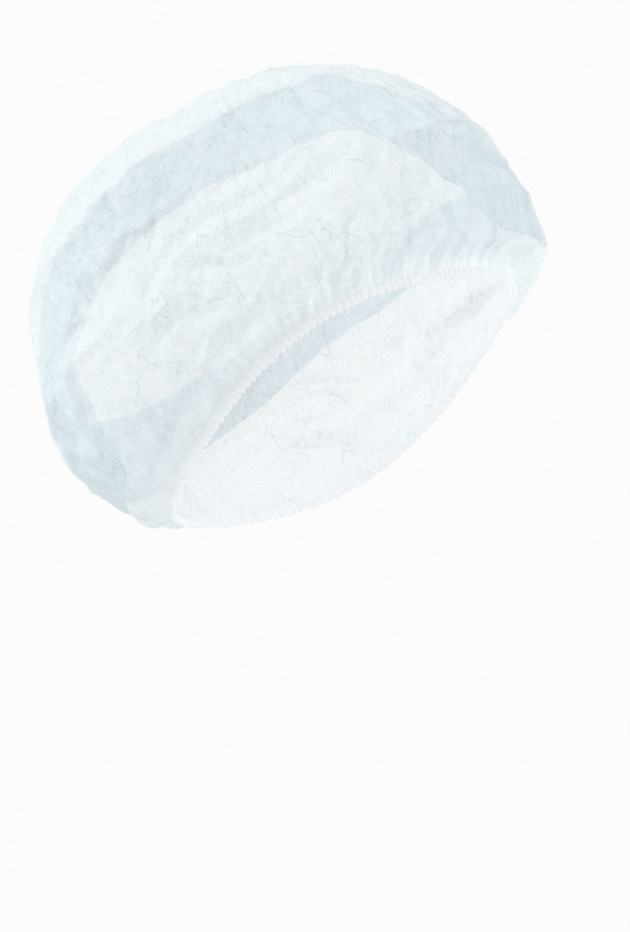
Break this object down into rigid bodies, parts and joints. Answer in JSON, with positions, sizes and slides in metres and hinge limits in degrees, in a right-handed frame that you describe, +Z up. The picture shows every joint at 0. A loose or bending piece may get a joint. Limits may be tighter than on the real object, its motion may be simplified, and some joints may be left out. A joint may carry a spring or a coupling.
{
  "type": "disposable hair cover cap",
  "caption": "Disposable beret-style hair cover: a puffed, crinkled non-woven crown gathered onto a round elastic band, shown in the form it takes when worn",
  "frame": {"origin": "The middle of the opening that the head goes into, level with the elastic band's centre line above both ears", "axes": "+Z up as worn on a level head, -Y the way the wearer faces, +X to the wearer's left"},
  "size_m": [0.2198, 0.2466, 0.2154],
  "materials": {
    "crown_cloth": "matte",
    "band_cloth": "matte"
  },
  "bodies": {
    "root": {"crown": "crown_cloth", "elastic_band": "band_cloth"}
  },
  "joints": []
}
